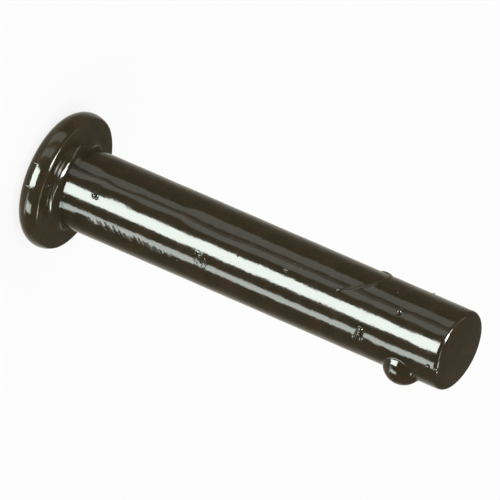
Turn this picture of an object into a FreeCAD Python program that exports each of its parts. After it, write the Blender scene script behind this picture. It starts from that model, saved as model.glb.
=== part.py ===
"""Headed pin with a fixed nub near its tip, one piece, coated all over.

The pin stands on the flat top of its head. The origin is the middle of that
flat face, +Z runs along the shank from the head to the tip, and +X points to
the side that the nub is on. Sizes are in millimetres, over the coat.
"""

import FreeCAD, Part
import math
import os

# Shank: a half inch bar under its coat
shank_d = 13.0

# Head: a disc with a full round rim and a flat underside
head_d = 22.15
rim_r = 2.67               # round of the rim, from the flat top over the widest ring
rim_to_seat = 1.63         # from the widest ring to the flat underside
seat_edge_r = 0.3          # where the rim runs into the underside
neck_r = 1.6               # fillet between the underside and the shank

# Tip: cut slightly out of square, with its corner rounded by the coat
end_skew_deg = 2.0
end_edge_r = 0.8

# Nub: a ball set into the shank, most of it inside the bar
nub_ball_r = 3.45
nub_ball_offset = 4.87     # from the axis to the middle of the ball
nub_from_seat = 61.95      # from the underside of the head to the middle of the ball
nub_to_end = 7.4           # from the middle of the ball to the end face, on the axis

shank_r = shank_d / 2
head_r = head_d / 2
seat_z = rim_r + rim_to_seat
nub_z = seat_z + nub_from_seat
end_z = nub_z + nub_to_end
spare_length = shank_d     # left on the blank and taken off by the end cut

AXIS = FreeCAD.Vector(0, 0, 1)
ORIGIN = FreeCAD.Vector(0, 0, 0)


def at(radius, height):
    """A point of the turned outline, in the XZ plane."""
    return FreeCAD.Vector(radius, 0, height)


def on_arc(centre, radius, angle_deg):
    """The point of an arc in the XZ plane, with its angle taken from +X towards +Z."""
    angle = math.radians(angle_deg)
    return centre + at(radius * math.cos(angle), radius * math.sin(angle))


def line(start, end):
    return Part.LineSegment(start, end).toShape()


def arc(centre, radius, start_deg, end_deg):
    """An arc from one angle to the other, about its centre."""
    middle_deg = (start_deg + end_deg) / 2
    points = [on_arc(centre, radius, angle) for angle in (start_deg, middle_deg, end_deg)]
    return Part.Arc(*points).toShape()


def pin_outline():
    """Half section of the turned pin, head down, with spare length at the tip."""
    rim_centre = at(head_r - rim_r, rim_r)
    # The seat edge's arc lies inside the rim's arc, touches it and ends on the underside
    edge_rise = rim_to_seat - seat_edge_r
    edge_reach = math.sqrt((rim_r - seat_edge_r) ** 2 - edge_rise ** 2)
    edge_centre = rim_centre + at(edge_reach, edge_rise)
    touch_deg = math.degrees(math.atan2(edge_rise, edge_reach))
    neck_centre = at(shank_r + neck_r, seat_z + neck_r)
    blank_top = end_z + spare_length

    edges = [
        line(ORIGIN, on_arc(rim_centre, rim_r, -90)),
        arc(rim_centre, rim_r, -90, touch_deg),
        arc(edge_centre, seat_edge_r, touch_deg, 90),
        line(on_arc(edge_centre, seat_edge_r, 90), on_arc(neck_centre, neck_r, 270)),
        arc(neck_centre, neck_r, 270, 180),
        line(on_arc(neck_centre, neck_r, 180), at(shank_r, blank_top)),
        line(at(shank_r, blank_top), at(0, blank_top)),
        line(at(0, blank_top), ORIGIN),
    ]
    return Part.Face(Part.Wire(edges))


def cut_to_length(blank):
    """Take off the spare length, a little higher on the side away from the nub."""
    width = 2 * head_d
    waste = Part.makeBox(width, width, 2 * spare_length, FreeCAD.Vector(-width / 2, -width / 2, 0))
    waste.rotate(ORIGIN, FreeCAD.Vector(0, 1, 0), end_skew_deg)
    waste.translate(AXIS * end_z)
    return blank.cut(waste)


def round_the_end(pin):
    """Round the corner of the end face, which is the highest flat face."""
    flat_faces = [face for face in pin.Faces if isinstance(face.Surface, Part.Plane)]
    end_face = max(flat_faces, key=lambda face: face.CenterOfMass.z)
    return pin.makeFillet(end_edge_r, end_face.OuterWire.Edges)


def nub():
    return Part.makeSphere(nub_ball_r, at(nub_ball_offset, nub_z))


def headed_pin():
    blank = pin_outline().revolve(ORIGIN, AXIS, 360)
    turned = round_the_end(cut_to_length(blank))
    return turned.fuse(nub()).removeSplitter()


os.makedirs("parts", exist_ok=True)
headed_pin().exportStep("parts/headed_pin.step")
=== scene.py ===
import math
import random

import bpy
from mathutils import Matrix, Vector


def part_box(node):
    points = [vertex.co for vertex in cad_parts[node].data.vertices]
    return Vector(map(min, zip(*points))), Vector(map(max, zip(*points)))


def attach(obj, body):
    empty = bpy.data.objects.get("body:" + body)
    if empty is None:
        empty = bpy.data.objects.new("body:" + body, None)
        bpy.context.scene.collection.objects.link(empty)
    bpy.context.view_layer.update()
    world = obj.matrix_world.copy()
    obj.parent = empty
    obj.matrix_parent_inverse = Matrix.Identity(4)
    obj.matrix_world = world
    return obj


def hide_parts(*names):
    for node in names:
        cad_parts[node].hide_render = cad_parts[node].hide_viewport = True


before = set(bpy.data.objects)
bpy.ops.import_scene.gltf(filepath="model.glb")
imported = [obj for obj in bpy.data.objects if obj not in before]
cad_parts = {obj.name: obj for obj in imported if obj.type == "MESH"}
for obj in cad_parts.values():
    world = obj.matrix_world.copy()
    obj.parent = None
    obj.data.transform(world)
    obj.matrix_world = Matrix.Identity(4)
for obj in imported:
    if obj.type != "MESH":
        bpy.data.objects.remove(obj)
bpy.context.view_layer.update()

bpy.ops.object.select_all(action="DESELECT")

# Pin body
# A half inch steel bar with a round head upset on one end, standing on the flat of its head.
# It is turned: half a section is drawn point by point and spun round the axis.
mm = 0.001
head_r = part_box("headed_pin")[1].x
rim_r = 2.67 * mm
rim_to_seat = 1.57 * mm
seat_crown_deg = 6
seat_edge_r = 0.42 * mm
seat_z = rim_r + rim_to_seat
neck_r = 1.6 * mm
shank_r = 6.5 * mm
end_z = 73.65 * mm
end_edge_r = 0.8 * mm
end_crown_deg = 6.5
ring_step = 0.4 * mm
nub_ring_step = 0.2 * mm
nub_zone = (62.6 * mm, 70.4 * mm)
top_steps = 10
rim_steps = 40
seat_edge_steps = 8
seat_steps = 10
neck_steps = 14
end_edge_steps = 12
end_steps = 12
spin_steps = 240
weld_reach = 0.001 * mm


def arc(middle_r, middle_z, radius, start_deg, end_deg, steps):
    """The points of an arc of the half section, without its first."""
    turns = [math.radians(start_deg + (end_deg - start_deg) * i / steps) for i in range(1, steps + 1)]
    return [(middle_r + radius * math.cos(a), middle_z + radius * math.sin(a)) for a in turns]


def line(start, end, steps):
    """The points of a straight stretch of the half section, without its first."""
    (r0, z0), (r1, z1) = start, end
    return [(r0 + (r1 - r0) * i / steps, z0 + (z1 - z0) * i / steps) for i in range(1, steps + 1)]


def crown(start, inner_r, slope_deg, steps):
    """A face that rises inwards from its border, from the slope there to level, without its first point."""
    radius = (start[0] - inner_r) / math.sin(math.radians(slope_deg))
    middle_z = start[1] - radius * math.cos(math.radians(slope_deg))
    return arc(inner_r, middle_z, radius, 90 - slope_deg, 90, steps)


def half_section():
    """The outline of half the pin, as radius and height, from the middle of its top to that of its end."""
    rim_middle = head_r - rim_r
    edge_rise = rim_to_seat - seat_edge_r
    edge_reach = math.sqrt((rim_r - seat_edge_r) ** 2 - edge_rise**2)
    edge_middle = (rim_middle + edge_reach, rim_r + edge_rise)
    touch_deg = math.degrees(math.atan2(edge_rise, edge_reach))
    neck_middle = shank_r + neck_r
    nub_low, nub_high = nub_zone
    end_corner = (shank_r, end_z - end_edge_r)
    end_edge_middle = (shank_r - end_edge_r, end_z - end_edge_r)
    points = [(0.0, 0.0)]
    points += line(points[-1], (rim_middle, 0.0), top_steps)
    points += arc(rim_middle, rim_r, rim_r, -90, touch_deg, rim_steps)
    points += arc(*edge_middle, seat_edge_r, touch_deg, 90 - seat_crown_deg, seat_edge_steps)
    points += crown(points[-1], neck_middle, seat_crown_deg, seat_steps)
    neck_low = points[-1][1]
    points += arc(neck_middle, neck_low + neck_r, neck_r, 270, 180, neck_steps)
    points += line(points[-1], (shank_r, nub_low), round((nub_low - points[-1][1]) / ring_step))
    points += line(points[-1], (shank_r, nub_high), round((nub_high - nub_low) / nub_ring_step))
    points += line(points[-1], end_corner, round((end_corner[1] - nub_high) / ring_step))
    points += arc(*end_edge_middle, end_edge_r, 0, 90 - end_crown_deg, end_edge_steps)
    points += crown(points[-1], 0.0, end_crown_deg, end_steps)
    return points


def select_vertices(piece, wanted):
    """Opens the piece in edit mode with only the vertices selected whose place is wanted."""
    bpy.ops.object.mode_set(mode="EDIT")
    bpy.ops.mesh.select_mode(type="VERT")
    bpy.ops.mesh.select_all(action="DESELECT")
    bpy.ops.object.mode_set(mode="OBJECT")
    for vertex in piece.data.vertices:
        vertex.select = wanted(vertex.co)
    bpy.ops.object.mode_set(mode="EDIT")


bpy.ops.mesh.primitive_plane_add(size=mm)
pin = bpy.context.object
pin.name = "coated_pin"
bpy.ops.object.mode_set(mode="EDIT")
bpy.ops.mesh.merge(type="CENTER")
section = half_section()
for (r0, z0), (r1, z1) in zip(section, section[1:]):
    bpy.ops.mesh.extrude_region_move(TRANSFORM_OT_translate={"value": (r1 - r0, 0, z1 - z0)})
bpy.ops.mesh.select_all(action="SELECT")
bpy.ops.mesh.spin(steps=spin_steps, angle=2 * math.pi, center=(0, 0, 0), axis=(0, 0, 1))
bpy.ops.mesh.select_all(action="SELECT")
bpy.ops.mesh.remove_doubles(threshold=weld_reach)
bpy.ops.mesh.normals_make_consistent(inside=False)
bpy.ops.object.mode_set(mode="OBJECT")

# Saw cut and upsetting
# The bar was cut a little out of square, and its head was upset a hair to one side of the shank.
# The end's face is turned as a whole, and the head is slid.
end_skew = math.radians(2)
head_shift = -0.12 * mm
hair = 0.01 * mm
select_vertices(pin, lambda place: place.z > end_z - end_edge_r - hair)
bpy.ops.transform.rotate(value=-end_skew, orient_axis="Y", center_override=(0, 0, end_z))
bpy.ops.object.mode_set(mode="OBJECT")
select_vertices(pin, lambda place: place.z < seat_z + hair)
bpy.ops.transform.translate(value=(head_shift, 0, 0))
bpy.ops.object.mode_set(mode="OBJECT")

# Coat thickness
# The pin was dipped in thick enamel, which ran and sagged before it set, so nothing on it is
# quite round or straight. A slow unevenness covers all but the flat of the head, and is calmer
# on the face under the head and on the neck.
unevenness_size = 3.4 * mm
unevenness_depth = 0.055 * mm
calm_weight = 0.2
calm_steps = 12
neck_top = seat_z + neck_r
neck_foot = shank_r + 2.1 * mm
shank_reach = 5 * mm
seat_reach = 1.9 * mm
seat_margin = 0.2 * mm


def away_from_neck(place):
    """How far a place is out of the calm part: 0 in it, 1 where the coat is as uneven as elsewhere."""
    along_shank = (place.z - neck_top) / shank_reach
    across_seat = (math.hypot(place.x, place.y) - neck_foot) / seat_reach
    return max(along_shank, across_seat, 0)


def in_band(place, band_low):
    """Whether a place above the rim lies in the step that starts at band_low."""
    return place.z > seat_z - seat_margin and band_low <= away_from_neck(place) < band_low + 1 / calm_steps


pin.vertex_groups.new(name="coated_side")
tool_settings = bpy.context.scene.tool_settings
select_vertices(pin, lambda place: place.z > rim_r / 2)
bpy.ops.object.vertex_group_assign()
bpy.ops.object.mode_set(mode="OBJECT")
for i in range(calm_steps):
    band_low = i / calm_steps
    tool_settings.vertex_group_weight = calm_weight + (1 - calm_weight) * band_low
    select_vertices(pin, lambda place: in_band(place, band_low))
    bpy.ops.object.vertex_group_assign()
    bpy.ops.object.mode_set(mode="OBJECT")
tool_settings.vertex_group_weight = 1.0
unevenness = bpy.data.textures.new("unevenness", "CLOUDS")
unevenness.noise_scale = unevenness_size
unevenness.noise_depth = 1
dip = pin.modifiers.new("dip", "DISPLACE")
dip.texture = unevenness
dip.texture_coords = "LOCAL"
dip.vertex_group = "coated_side"
dip.strength = unevenness_depth
dip.mid_level = 0.5
bpy.ops.object.modifier_apply(modifier="dip")

# Sags
# The enamel ran along the shank while it hung, and dried in long low swells with hollows
# between them. Each is a line of the surface pushed out or in, with a soft edge.
view_turn_deg = 12
sag_core = 0.25 * mm
sags = (
    # angle, start and end heights, reach, rise
    (-13.5, 13.5, 17.0, 1.6, 0.045),
    (-23.5, 11.0, 25.5, 1.9, 0.065),
    (-20.0, 8.5, 10.0, 1.5, 0.035),
    (-30.0, 28.0, 35.0, 2.4, -0.05),
    (45.0, 9.0, 10.2, 1.3, -0.06),
    (46.0, 11.4, 12.4, 1.2, 0.04),
    (44.0, 60.6, 61.4, 1.3, -0.03),
)


def on_shank(angle_deg, height, radius=shank_r):
    """A place on the shank, its angle counted from the side that is seen, towards the nub."""
    angle = math.radians(angle_deg + view_turn_deg)
    return Vector((radius * math.sin(angle), -radius * math.cos(angle), height))


def near_line(place, low, high):
    """Whether a place lies by the upright line from low to high."""
    if not low.z <= place.z <= high.z:
        return False
    return (Vector((place.x, place.y, low.z)) - low).length < sag_core


for angle_deg, low_z, high_z, reach, rise in sags:
    low = on_shank(angle_deg, low_z * mm)
    high = on_shank(angle_deg, high_z * mm)
    select_vertices(pin, lambda place: near_line(place, low, high))
    bpy.ops.transform.shrink_fatten(
        value=rise * mm,
        use_proportional_edit=True,
        proportional_edit_falloff="SMOOTH",
        proportional_size=reach * mm,
    )
    bpy.ops.object.mode_set(mode="OBJECT")

# Nub
# A quarter inch ball pressed into a hole near the tip keeps the pin from sliding back out.
# The enamel runs over it without a break.
nub_ball_r = 3.27 * mm
nub_place = Vector((5.12, 0, 66.5)) * mm
nub_segments = 96


def unite(whole, part):
    """Unites a part with a whole and removes the part."""
    bpy.ops.object.select_all(action="DESELECT")
    whole.select_set(True)
    bpy.context.view_layer.objects.active = whole
    union = whole.modifiers.new("union", "BOOLEAN")
    union.operation = "UNION"
    union.solver = "EXACT"
    union.object = part
    bpy.ops.object.modifier_apply(modifier="union")
    bpy.data.objects.remove(part)


def ball(place, radius, segments, rings):
    """A ball with its place in its mesh."""
    bpy.ops.object.select_all(action="DESELECT")
    bpy.ops.mesh.primitive_uv_sphere_add(segments=segments, ring_count=rings, radius=radius, location=place)
    bpy.ops.object.transform_apply(location=True, rotation=True, scale=True)
    return bpy.context.object


raised = ball(nub_place, nub_ball_r, nub_segments, nub_segments // 2)

# Lap
# Two runs of enamel met across the shank and left a raised line, thickest where it turns
# over the back. It is a thin tube laid along the surface and sunk into it.
lap_sink = 0.35 * mm
lap_smoothness = 12
lap_roundness = 8
lap_route = (
    # angle, height, radius of the tube
    (-100, 56.2, 0.42),
    (-93, 56.8, 0.54),
    (-89, 57.5, 0.58),
    (-85, 58.3, 0.58),
    (-77, 59.0, 0.51),
    (-63, 59.2, 0.44),
    (-50, 59.1, 0.42),
    (-41, 58.5, 0.44),
    (-33, 57.5, 0.46),
    (-24, 56.4, 0.43),
    (-17, 55.1, 0.40),
    (-12.5, 54.1, 0.38),
)
bpy.ops.object.select_all(action="DESELECT")
bpy.ops.curve.primitive_nurbs_path_add()
lap = bpy.context.object
spline = lap.data.splines[0]
spline.points.add(len(lap_route) - len(spline.points))
for point, (angle_deg, height, radius) in zip(spline.points, lap_route):
    point.co = (*on_shank(angle_deg, height * mm, shank_r - lap_sink), 1)
    point.radius = radius
spline.order_u = 3
spline.use_endpoint_u = True
spline.resolution_u = lap_smoothness
lap.data.bevel_depth = mm
lap.data.bevel_resolution = lap_roundness
lap.data.use_fill_caps = True
bpy.ops.object.convert(target="MESH")
unite(raised, lap)

# Beads
# Dust and air caught in the enamel stand up as small round beads, all over the seen side. The
# largest group is a burst blister above the nub's side, a low mound with four beads on its edge.
large_bead_r = 0.3
large_bead_segments = 32
small_bead_segments = 20
beads = (
    # angle, height, radius, depth of its middle under the surface
    (33.3, 59.6, 0.95, 0.66),
    (26.9, 59.65, 0.52, 0.20),
    (41.2, 58.75, 0.42, 0.10),
    (40.5, 60.0, 0.42, 0.10),
    (37.5, 59.4, 0.26, 0.00),
    (-17.4, 64.55, 0.52, 0.00),
    (-11.7, 53.96, 0.24, 0.03),
    (-7.9, 44.9, 0.28, 0.03),
    (-21.2, 45.7, 0.14, 0.03),
    (-90, 65.97, 0.50, 0.40),
    (-43.6, 62.44, 0.13, 0.02),
    (2.4, 10.95, 0.70, 0.44),
    (6.0, 11.3, 0.26, 0.12),
    (41.7, 25.6, 0.15, 0.02),
    (42.3, 27.1, 0.18, 0.02),
    (26.2, 30.3, 0.13, 0.02),
    (38.4, 73.15, 0.36, 0.20),
    (38.0, 71.9, 1.10, 1.00),
    (21.2, 6.1, 0.17, 0.02),
    (0.8, 36.7, 0.13, 0.04),
    (0.6, 10.5, 0.30, 0.15),
    (4.4, 11.5, 0.28, 0.13),
)
seat_bead_r = 0.24 * mm
seat_bead_place = on_shank(11.0, seat_z, 9.2 * mm)
nub_bead_r = 0.52 * mm
nub_bead_place = nub_place + Vector((1.22, -1.30, 2.58)) * mm


def bead(place, radius, segments):
    """One bead, with rings that are about square."""
    return ball(place, radius, segments, segments * 5 // 8)


for angle_deg, height, radius, depth in beads:
    segments = large_bead_segments if radius > large_bead_r else small_bead_segments
    bead_place = on_shank(angle_deg, height * mm, shank_r - depth * mm)
    unite(raised, bead(bead_place, radius * mm, segments))
unite(raised, bead(seat_bead_place, seat_bead_r, small_bead_segments))
unite(raised, bead(nub_bead_place, nub_bead_r, large_bead_segments))

# Scores
# The steel was scored near the head before it was dipped, and its rim was nicked twice. The
# enamel stands up over each mark as a slim ridge.
ridge_segments = 16
score_count = 24
score_start = 11.2
score_step = 0.62
score_scatter = 0.25
score_lengths = (0.9, 2.0)
score_angles = (35.5, 40.8)
score_width = 0.17 * mm
score_height = score_width * 1.2
score_sink = 0.05 * mm
score_slant = math.radians(38)
rim_ridge_angles = (16.1, -3.3)
rim_ridge_size = (0.26 * mm, 0.18 * mm, 1.3 * mm)
rim_ridge_z = rim_r - 0.62 * mm
rim_ridge_sink = 0.11 * mm


def ridge(size, slant, angle_deg, place):
    """A slim ridge at a place on a round surface, upright or slanted, with its place in its mesh."""
    bpy.ops.object.select_all(action="DESELECT")
    bpy.ops.mesh.primitive_uv_sphere_add(segments=ridge_segments, ring_count=ridge_segments, radius=0.5)
    mark = bpy.context.object
    mark.scale = size
    mark.rotation_euler = (0, slant, 0)
    bpy.ops.object.transform_apply(location=True, rotation=True, scale=True)
    mark.location = place
    mark.rotation_euler = (0, 0, math.radians(angle_deg + view_turn_deg))
    bpy.ops.object.transform_apply(location=True, rotation=True, scale=True)
    return mark


random.seed(3)
for i in range(score_count):
    angle_deg = random.uniform(*score_angles)
    height = score_start + score_step * i + random.uniform(-score_scatter, score_scatter)
    length = random.uniform(*score_lengths)
    score_size = (score_width, score_height, length * mm)
    score_place = on_shank(angle_deg, height * mm, shank_r - score_sink)
    unite(raised, ridge(score_size, score_slant, angle_deg, score_place))
for angle_deg in rim_ridge_angles:
    rim_ridge_place = on_shank(angle_deg, rim_ridge_z, head_r - rim_ridge_sink)
    unite(raised, ridge(rim_ridge_size, 0, angle_deg, rim_ridge_place))

# Grains and specks
# Coarse dust is caught in the enamel at the corner of the tip, and the shank has a rough patch
# half way along. Both are patches of tiny raised specks.
dust_segments = 12
dust_rings = 8
grain_count = 14
grain_angles = (-76, -52)
grain_heights = (72.0, 73.1)
grain_radii = (0.10, 0.20)
grain_sink = 0.06 * mm
speck_count = 22
speck_angles = (15, 39)
speck_heights = (29.9, 32.0)
speck_radii = (0.08, 0.16)
speck_sink = 0.02 * mm


def scatter(count, angles, heights, radii, sink):
    """Raises a patch of dust of the given number, spread evenly over the ranges."""
    for i in range(count):
        dust_deg = random.uniform(*angles)
        dust_z = random.uniform(*heights) * mm
        dust_r = random.uniform(*radii) * mm
        unite(raised, ball(on_shank(dust_deg, dust_z, shank_r - sink), dust_r, dust_segments, dust_rings))


random.seed(7)
scatter(grain_count, grain_angles, grain_heights, grain_radii, grain_sink)
scatter(speck_count, speck_angles, speck_heights, speck_radii, speck_sink)

# Seams
# The wet enamel closed over every bead, ridge and speck, ran a little into the corners round
# them, and left a small fillet where the nub meets the shank.
sharp_corner = math.radians(24)
corner_rounds = 2
nub_fillet = 0.45 * mm
nub_fillet_rounds = 14
nub_bead_margin = 1.1
smooth_below = math.radians(50)


def by_nub_seam(place):
    """Whether a place is near both the nub's ball and the shank, and clear of the nub's bead."""
    if (place - nub_bead_place).length < nub_bead_r * nub_bead_margin:
        return False
    from_ball = abs((place - nub_place).length - nub_ball_r)
    from_shank = abs(math.hypot(place.x, place.y) - shank_r)
    return from_ball < nub_fillet and from_shank < nub_fillet


unite(pin, raised)
bpy.ops.object.mode_set(mode="EDIT")
bpy.ops.mesh.select_all(action="DESELECT")
bpy.ops.mesh.select_mode(type="EDGE")
bpy.ops.mesh.edges_select_sharp(sharpness=sharp_corner)
bpy.ops.mesh.select_mode(type="VERT")
bpy.ops.mesh.vertices_smooth(factor=0.5, repeat=corner_rounds)
bpy.ops.object.mode_set(mode="OBJECT")
select_vertices(pin, by_nub_seam)
bpy.ops.mesh.vertices_smooth(factor=0.5, repeat=nub_fillet_rounds)
bpy.ops.object.mode_set(mode="OBJECT")
bpy.ops.object.shade_smooth_by_angle(angle=smooth_below)

# Enamel
# Thick glossy black enamel with a brown cast, dipped and air dried. Its surface has a very fine
# orange peel, and its gloss and its brown vary in small clouds. The head is painted a little paler,
# a painted sheen that stands in for the room light the head reflects.
enamel_ior = 1.55
dark_enamel = (0.024, 0.0205, 0.0088, 1)
brown_enamel = (0.039, 0.0255, 0.0125, 1)
enamel_roughness = (0.08, 0.15)
peel_scale = 1300
peel_depth = 0.012 * mm
cloud_scale = 420
cloud_share = (0.35, 0.65)
# Painted sheen: the head's colour is raised by this factor in place of room light that it reflects.
head_sheen_gain = 1.2
head_sheen_from_z = 6.5 * mm
head_sheen_to_z = 4.2 * mm
coat = bpy.data.materials.new("black_enamel")
coat.use_nodes = True
nodes, links = coat.node_tree.nodes, coat.node_tree.links
shader = nodes["Principled BSDF"]
shader.inputs["IOR"].default_value = enamel_ior
place = nodes.new("ShaderNodeTexCoord")
peel = nodes.new("ShaderNodeTexNoise")
peel.inputs["Scale"].default_value = peel_scale
peel.inputs["Detail"].default_value = 1.5
peel.inputs["Roughness"].default_value = 0.55
links.new(place.outputs["Object"], peel.inputs["Vector"])
bump = nodes.new("ShaderNodeBump")
bump.inputs["Strength"].default_value = 1.0
bump.inputs["Distance"].default_value = peel_depth
links.new(peel.outputs["Fac"], bump.inputs["Height"])
links.new(bump.outputs["Normal"], shader.inputs["Normal"])
clouds = nodes.new("ShaderNodeTexNoise")
clouds.inputs["Scale"].default_value = cloud_scale
clouds.inputs["Detail"].default_value = 5
clouds.inputs["Roughness"].default_value = 0.65
links.new(place.outputs["Object"], clouds.inputs["Vector"])
tint = nodes.new("ShaderNodeValToRGB")
for stop, share, colour in zip(tint.color_ramp.elements, cloud_share, (dark_enamel, brown_enamel)):
    stop.position = share
    stop.color = colour
links.new(clouds.outputs["Fac"], tint.inputs["Fac"])
height_split = nodes.new("ShaderNodeSeparateXYZ")
links.new(place.outputs["Object"], height_split.inputs["Vector"])
# Painted sheen: the colour is scaled up towards the head, standing in for reflected room light.
painted_head_sheen = nodes.new("ShaderNodeMapRange")
painted_head_sheen.inputs["From Min"].default_value = head_sheen_from_z
painted_head_sheen.inputs["From Max"].default_value = head_sheen_to_z
painted_head_sheen.inputs["To Min"].default_value = 1.0
painted_head_sheen.inputs["To Max"].default_value = head_sheen_gain
links.new(height_split.outputs["Z"], painted_head_sheen.inputs["Value"])
coat_colour = nodes.new("ShaderNodeVectorMath")
coat_colour.operation = "SCALE"
links.new(tint.outputs["Color"], coat_colour.inputs["Vector"])
links.new(painted_head_sheen.outputs["Result"], coat_colour.inputs["Scale"])
links.new(coat_colour.outputs["Vector"], shader.inputs["Base Color"])
gloss = nodes.new("ShaderNodeMapRange")
gloss.inputs["To Min"].default_value = enamel_roughness[0]
gloss.inputs["To Max"].default_value = enamel_roughness[1]
links.new(clouds.outputs["Fac"], gloss.inputs["Value"])
links.new(gloss.outputs["Result"], shader.inputs["Roughness"])
pin.data.materials.clear()
pin.data.materials.append(coat)
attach(pin, "root")
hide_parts("headed_pin")

# Floor
# A wide sheet of pale paper that the pin stands on. It is part of the stage: it looks almost
# white to the camera and still takes the pin's soft shadow.
floor_size = 8.0
paper_colour = (0.8, 0.8, 0.8, 1)
paper_glow = 0.85
bpy.ops.object.select_all(action="DESELECT")
bpy.ops.mesh.primitive_plane_add(size=floor_size, location=(0, 0, 0))
floor = bpy.context.object
floor.name = "floor"
paper = bpy.data.materials.new("pale_paper")
paper.use_nodes = True
nodes, links = paper.node_tree.nodes, paper.node_tree.links
nodes.clear()
paper_out = nodes.new("ShaderNodeOutputMaterial")
matte = nodes.new("ShaderNodeBsdfDiffuse")
matte.inputs["Color"].default_value = paper_colour
glow = nodes.new("ShaderNodeEmission")
ray = nodes.new("ShaderNodeLightPath")
glow_share = nodes.new("ShaderNodeMath")
glow_share.operation = "MULTIPLY"
glow_share.inputs[1].default_value = paper_glow
links.new(ray.outputs["Is Camera Ray"], glow_share.inputs[0])
blend = nodes.new("ShaderNodeMixShader")
links.new(glow_share.outputs["Value"], blend.inputs["Fac"])
links.new(matte.outputs["BSDF"], blend.inputs[1])
links.new(glow.outputs["Emission"], blend.inputs[2])
links.new(blend.outputs["Shader"], paper_out.inputs["Surface"])
floor.data.materials.append(paper)
floor.visible_glossy = False
floor.visible_shadow = False

# Lamps
# Soft boxes round the pin, seen only in its gloss: the low ones as the long pale bands on the
# shank, the high ones in the crease and the neck. A broad weak lamp overhead lights the colour.
pin_middle = Vector((0, 0, 0.037))
lamp_distance = 1.2
white = (1, 1, 1)
cool = (0.905, 1.0, 0.945)


def direction(azimuth_deg, elevation_deg):
    """The way from the pin to a lamp, its azimuth counted from the side that is seen."""
    a, b = math.radians(azimuth_deg + view_turn_deg), math.radians(elevation_deg)
    return Vector((math.sin(a) * math.cos(b), -math.cos(a) * math.cos(b), math.sin(b)))


def panel(name, azimuth_deg, elevation_deg, width_deg, height_deg, radiance, colour=cool):
    """A soft box that faces the pin, sized by the angles that it fills, and seen in the gloss only."""
    lamp = bpy.data.lights.new(name, "AREA")
    lamp.shape = "RECTANGLE"
    lamp.size = 2 * lamp_distance * math.tan(math.radians(width_deg / 2))
    lamp.size_y = 2 * lamp_distance * math.tan(math.radians(height_deg / 2))
    lamp.energy = radiance * math.pi * lamp.size * lamp.size_y
    lamp.color = colour
    holder = bpy.data.objects.new(name, lamp)
    bpy.context.scene.collection.objects.link(holder)
    towards = direction(azimuth_deg, elevation_deg)
    holder.location = pin_middle + towards * lamp_distance
    holder.rotation_mode = "QUATERNION"
    holder.rotation_quaternion = towards.to_track_quat("Z", "Y")
    holder.visible_diffuse = False
    return holder


# each panel: name, azimuth, elevation, width, height, radiance
panel("light_1", 15.1, -31, 26.2, 38, 19)
panel("light_2", 65.3, -21, 15.2, 30, 8)
panel("grey_a", -60.5, -18, 20, 64, 1.05)
panel("grey_b", -39.5, -18, 9, 64, 0.38, white)
panel("grey_c", -28.5, -18, 14, 64, 1.3)
panel("key", -37, 58, 27, 12, 26)
panel("key_core", -26, 60, 13, 28, 48)
panel("key_left", -104, 50, 46, 8, 1.3)
panel("key_right", 66, 68, 28, 5, 8)
panel("low_right", 68, -41, 36, 8, 2.4)
panel("key_back", 128, 56, 12, 12, 16)
overhead = panel("overhead", 30, 75, 60, 60, 1.0, white)
overhead.visible_diffuse = True
overhead.visible_glossy = False

# Studio
# A white room round the stage. The gloss sees it as a dim, warm room that is bright only low
# down behind the pin, which draws the pale edges along the shank.
room_light = 0.85
dim_room_colour = (1, 0.97, 0.85, 1)
behind_range = (0.4, 1.1)
behind_light = 0.8
below_range = (0.02, -0.25)
ground_range = (-0.42, -0.8)
ground_light = (0.06, 0.32)
sides_range = (-0.3, 0.4)
sides_light = 0.05
world = bpy.data.worlds.new("studio")
world.use_nodes = True
bpy.context.scene.world = world
nodes, links = world.node_tree.nodes, world.node_tree.links
nodes.clear()
white_room = nodes.new("ShaderNodeBackground")
white_room.inputs["Color"].default_value = (1, 1, 1, 1)
white_room.inputs["Strength"].default_value = 1.0
soft_room = nodes.new("ShaderNodeBackground")
soft_room.inputs["Color"].default_value = (1, 1, 1, 1)
soft_room.inputs["Strength"].default_value = room_light
dim_room = nodes.new("ShaderNodeBackground")
dim_room.inputs["Color"].default_value = dim_room_colour
sky = nodes.new("ShaderNodeTexCoord")
upwards = nodes.new("ShaderNodeSeparateXYZ")
links.new(sky.outputs["Generated"], upwards.inputs["Vector"])
backwards = nodes.new("ShaderNodeVectorMath")
backwards.operation = "DOT_PRODUCT"
backwards.inputs[1].default_value = -direction(0, 0)
links.new(sky.outputs["Generated"], backwards.inputs[0])


def fade(value, start, end, light_start, light_end, curve):
    """A node that turns a value between start and end into an amount of light."""
    step = nodes.new("ShaderNodeMapRange")
    step.interpolation_type = curve
    step.inputs["From Min"].default_value = start
    step.inputs["From Max"].default_value = end
    step.inputs["To Min"].default_value = light_start
    step.inputs["To Max"].default_value = light_end
    links.new(value, step.inputs["Value"])
    return step.outputs["Result"]


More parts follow.
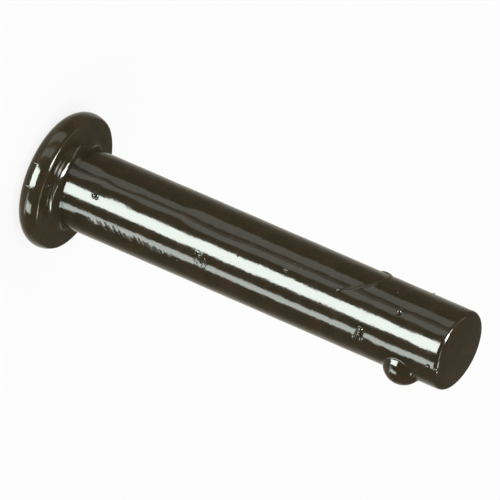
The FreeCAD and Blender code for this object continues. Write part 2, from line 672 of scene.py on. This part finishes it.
height = upwards.outputs["Z"]
depth = backwards.outputs["Value"]
behind = fade(depth, *behind_range, 0, behind_light, "SMOOTHSTEP")
below = fade(height, *below_range, 0, 1, "SMOOTHSTEP")
ground = fade(height, *ground_range, *ground_light, "LINEAR")
sides = fade(depth, *sides_range, 0, sides_light, "LINEAR")
ground_and_sides = nodes.new("ShaderNodeMath")
links.new(ground, ground_and_sides.inputs[0])
links.new(sides, ground_and_sides.inputs[1])
room_strength = nodes.new("ShaderNodeMath")
room_strength.operation = "MULTIPLY_ADD"
links.new(behind, room_strength.inputs[0])
links.new(below, room_strength.inputs[1])
links.new(ground_and_sides.outputs["Value"], room_strength.inputs[2])
links.new(room_strength.outputs["Value"], dim_room.inputs["Strength"])
ray = nodes.new("ShaderNodeLightPath")
in_gloss = nodes.new("ShaderNodeMixShader")
links.new(ray.outputs["Is Glossy Ray"], in_gloss.inputs["Fac"])
links.new(soft_room.outputs["Background"], in_gloss.inputs[1])
links.new(dim_room.outputs["Background"], in_gloss.inputs[2])
to_camera = nodes.new("ShaderNodeMixShader")
links.new(ray.outputs["Is Camera Ray"], to_camera.inputs["Fac"])
links.new(in_gloss.outputs["Shader"], to_camera.inputs[1])
links.new(white_room.outputs["Background"], to_camera.inputs[2])
studio_out = nodes.new("ShaderNodeOutputWorld")
links.new(to_camera.outputs["Shader"], studio_out.inputs["Surface"])

# Camera
# It looks down on the pin from in front, a little towards the nub's side, through a long lens,
# and is rolled so that the pin lies slanting across the picture with its head at the upper left.
picture_px = 500
mm_per_px = 0.1519
tilt = math.radians(23.4)
slant = math.radians(23.45)
camera_distance = 2.15
sensor_width = 36
neck_u = 141.3
axis_v = 139.5
middle_u = 328.8
middle_v = 129.6
neck_z = 4.3 * mm
turn = math.radians(view_turn_deg)
towards = Vector((math.cos(tilt) * math.sin(turn), -math.cos(tilt) * math.cos(turn), math.sin(tilt)))
across = Vector((math.cos(turn), math.sin(turn), 0))
along = across.cross(towards)
if along.z < 0:
    along = -along
right = along * math.cos(slant) - across * math.sin(slant)
up = -along * math.sin(slant) - across * math.cos(slant)
aim = across * (middle_v - axis_v) * mm_per_px * mm
aim += Vector((0, 0, (middle_u - neck_u) / math.cos(tilt) * mm_per_px * mm + neck_z))
lens = bpy.data.cameras.new("camera")
lens.sensor_width = sensor_width
lens.lens = sensor_width * camera_distance / (picture_px * mm_per_px * mm)
lens.clip_start = 0.05
lens.clip_end = 20
camera = bpy.data.objects.new("camera", lens)
bpy.context.scene.collection.objects.link(camera)
rotation = Matrix((right, up, towards)).transposed()
camera.matrix_world = Matrix.Translation(aim + towards * camera_distance) @ rotation.to_4x4()
bpy.context.scene.camera = camera
bpy.context.scene.view_settings.view_transform = "Standard"
